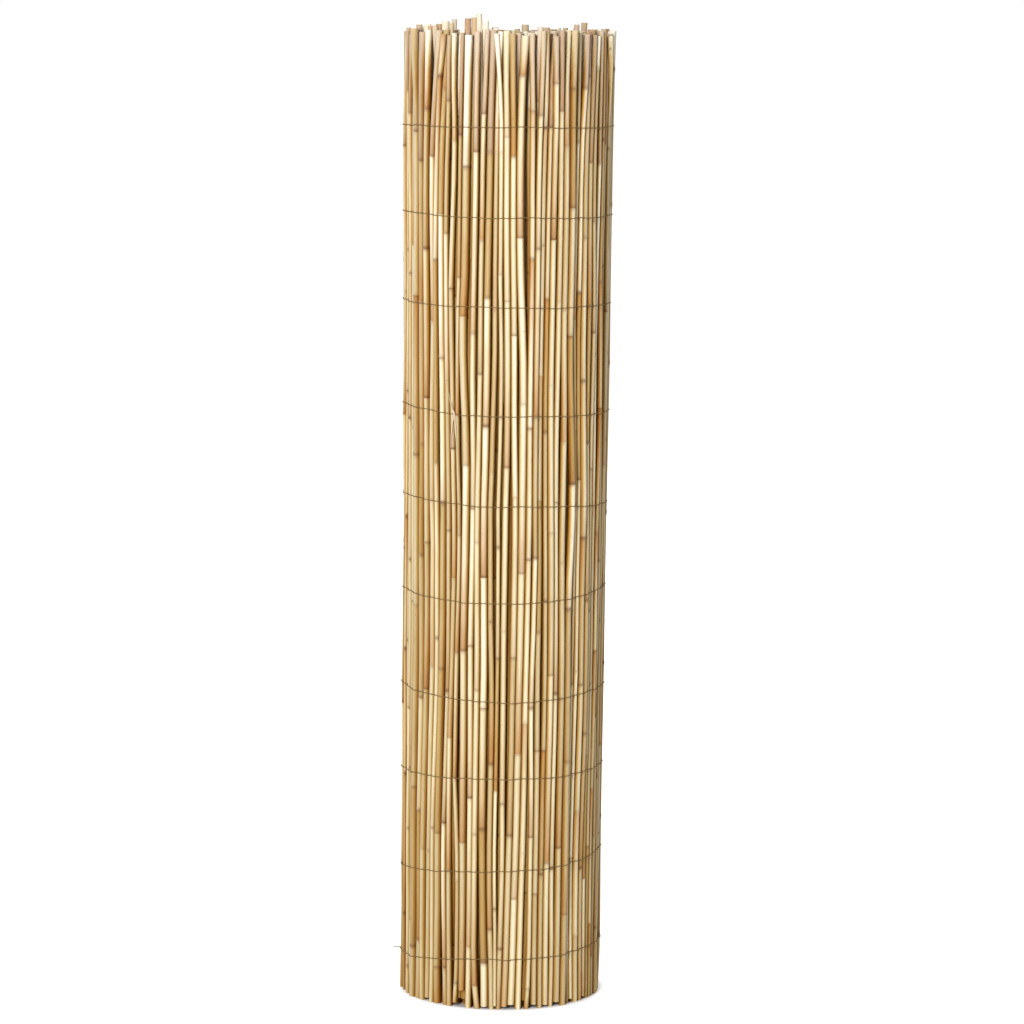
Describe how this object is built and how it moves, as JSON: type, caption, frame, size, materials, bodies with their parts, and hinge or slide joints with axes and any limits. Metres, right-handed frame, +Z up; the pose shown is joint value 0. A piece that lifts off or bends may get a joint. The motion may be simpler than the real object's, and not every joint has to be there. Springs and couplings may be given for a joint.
{
  "type": "reed screening fence roll",
  "caption": "Garden screen of natural reeds bound side by side with rows of thin wire, wound into a tall roll that stands on its sawn ends.",
  "frame": {"origin": "on the roll's axis, in the plane of its foot", "axes": "+Z up along the reeds, -Y the side that the picture shows, +X to the right seen from there"},
  "size_m": [0.2249, 0.2123, 1.018],
  "materials": {
    "reed": "dry straw-coloured reed stems with a faint natural shine",
    "wire": "thin dull dark grey-brown binding wire"
  },
  "bodies": {
    "root": {"reed_mat": "reed", "binding_wire_01": "wire", "binding_wire_02": "wire", "binding_wire_03": "wire", "binding_wire_04": "wire", "binding_wire_05": "wire", "binding_wire_06": "wire", "binding_wire_07": "wire", "binding_wire_08": "wire", "binding_wire_09": "wire", "binding_wire_10": "wire"}
  },
  "joints": []
}
